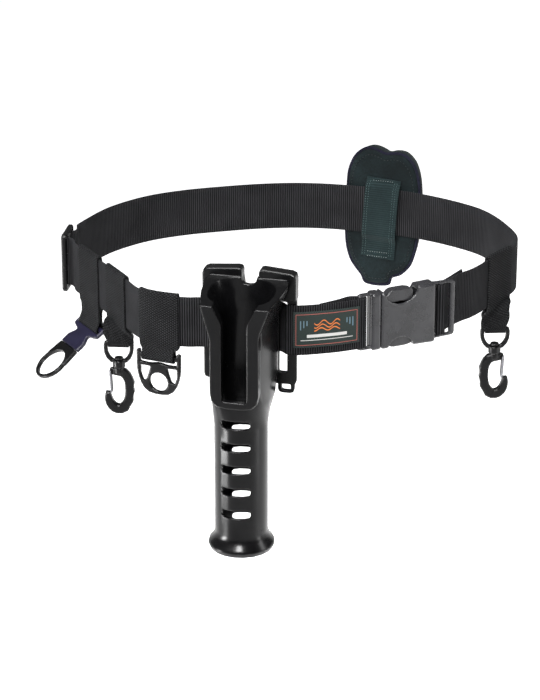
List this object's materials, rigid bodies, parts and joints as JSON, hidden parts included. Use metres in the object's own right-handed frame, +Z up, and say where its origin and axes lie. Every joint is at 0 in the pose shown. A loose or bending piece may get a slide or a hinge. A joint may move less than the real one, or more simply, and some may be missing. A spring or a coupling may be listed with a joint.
{
  "type": "fishing fighting belt",
  "caption": "Webbing waist belt with side-release buckle, moulded rod-butt holder with vented tube, strap-hung swivel hooks, D-ring, bottle clip and padded back pouch.",
  "frame": {"origin": "centre of the waist loop, at half the webbing's width", "axes": "+Z up as worn, -Y to the front of the belt, +X to the right as seen from the front"},
  "size_m": [0.4784, 0.4396, 0.2791],
  "materials": {
    "webbing": "woven, matt",
    "strap": "woven, matt",
    "label": "printed cloth",
    "pouch_cloth": "padded, matt",
    "keeper_cloth": "coated cloth",
    "holder_plastic": "satin",
    "buckle_plastic": "satin",
    "fitting_plastic": "satin",
    "clip_plastic": "satin",
    "gate_steel": "satin"
  },
  "bodies": {
    "belt": {"webbing_belt": "webbing", "label_patch": "label", "rod_holder": "holder_plastic", "buckle_female": "buckle_plastic", "buckle_male": "buckle_plastic", "slider": "fitting_plastic", "ring_strap": "strap", "hook_strap_left": "strap", "d_strap": "strap", "hook_strap_right": "strap", "pouch": "pouch_cloth", "pouch_keeper": "keeper_cloth"},
    "d_ring": {"d_ring": "fitting_plastic"},
    "eye_left": {"hook_eye_left": "fitting_plastic"},
    "hook_left": {"hook_body_left": "fitting_plastic"},
    "gate_left": {"hook_gate_left": "gate_steel"},
    "eye_right": {"hook_eye_right": "fitting_plastic"},
    "hook_right": {"hook_body_right": "fitting_plastic"},
    "gate_right": {"hook_gate_right": "gate_steel"},
    "bottle_clip": {"bottle_clip": "clip_plastic", "bottle_ring": "fitting_plastic"}
  },
  "joints": [
    {"name": "d_ring_swing", "type": "hinge", "parent": "belt", "child": "d_ring", "pos_m": [-0.12578, -0.15854, -0.0385], "axis": [0.921, -0.3897, 0], "range_deg": [-70, 70]},
    {"name": "eye_left_swing", "type": "hinge", "parent": "belt", "child": "eye_left", "pos_m": [-0.16777, -0.09958, -0.0475], "axis": [0.9976, -0.0698, 0], "range_deg": [-60, 60]},
    {"name": "hook_left_swivel", "type": "hinge", "parent": "eye_left", "child": "hook_left", "pos_m": [-0.16777, -0.09958, -0.0475], "axis": [0, 0, 1], "continuous": true},
    {"name": "gate_left_open", "type": "hinge", "parent": "hook_left", "child": "gate_left", "pos_m": [-0.17645, -0.09897, -0.07727], "axis": [-0.0698, -0.9976, 0], "range_deg": [0, 22], "stiffness_Nm_per_rad": 0.004, "springref_deg": -11.46},
    {"name": "eye_right_swing", "type": "hinge", "parent": "belt", "child": "eye_right", "pos_m": [0.20225, -0.0436, -0.0535], "axis": [0.9976, 0.0698, 0], "range_deg": [-60, 60]},
    {"name": "hook_right_swivel", "type": "hinge", "parent": "eye_right", "child": "hook_right", "pos_m": [0.20225, -0.0436, -0.0535], "axis": [0, 0, 1], "continuous": true},
    {"name": "gate_right_open", "type": "hinge", "parent": "hook_right", "child": "gate_right", "pos_m": [0.21093, -0.04299, -0.08327], "axis": [-0.0698, 0.9976, 0], "range_deg": [0, 22], "stiffness_Nm_per_rad": 0.004, "springref_deg": -11.46},
    {"name": "bottle_clip_swing", "type": "hinge", "parent": "belt", "child": "bottle_clip", "pos_m": [-0.19714, -0.04531, -0.05], "axis": [0.4905, -0.8714, 0], "range_deg": [-25, 54]}
  ]
}
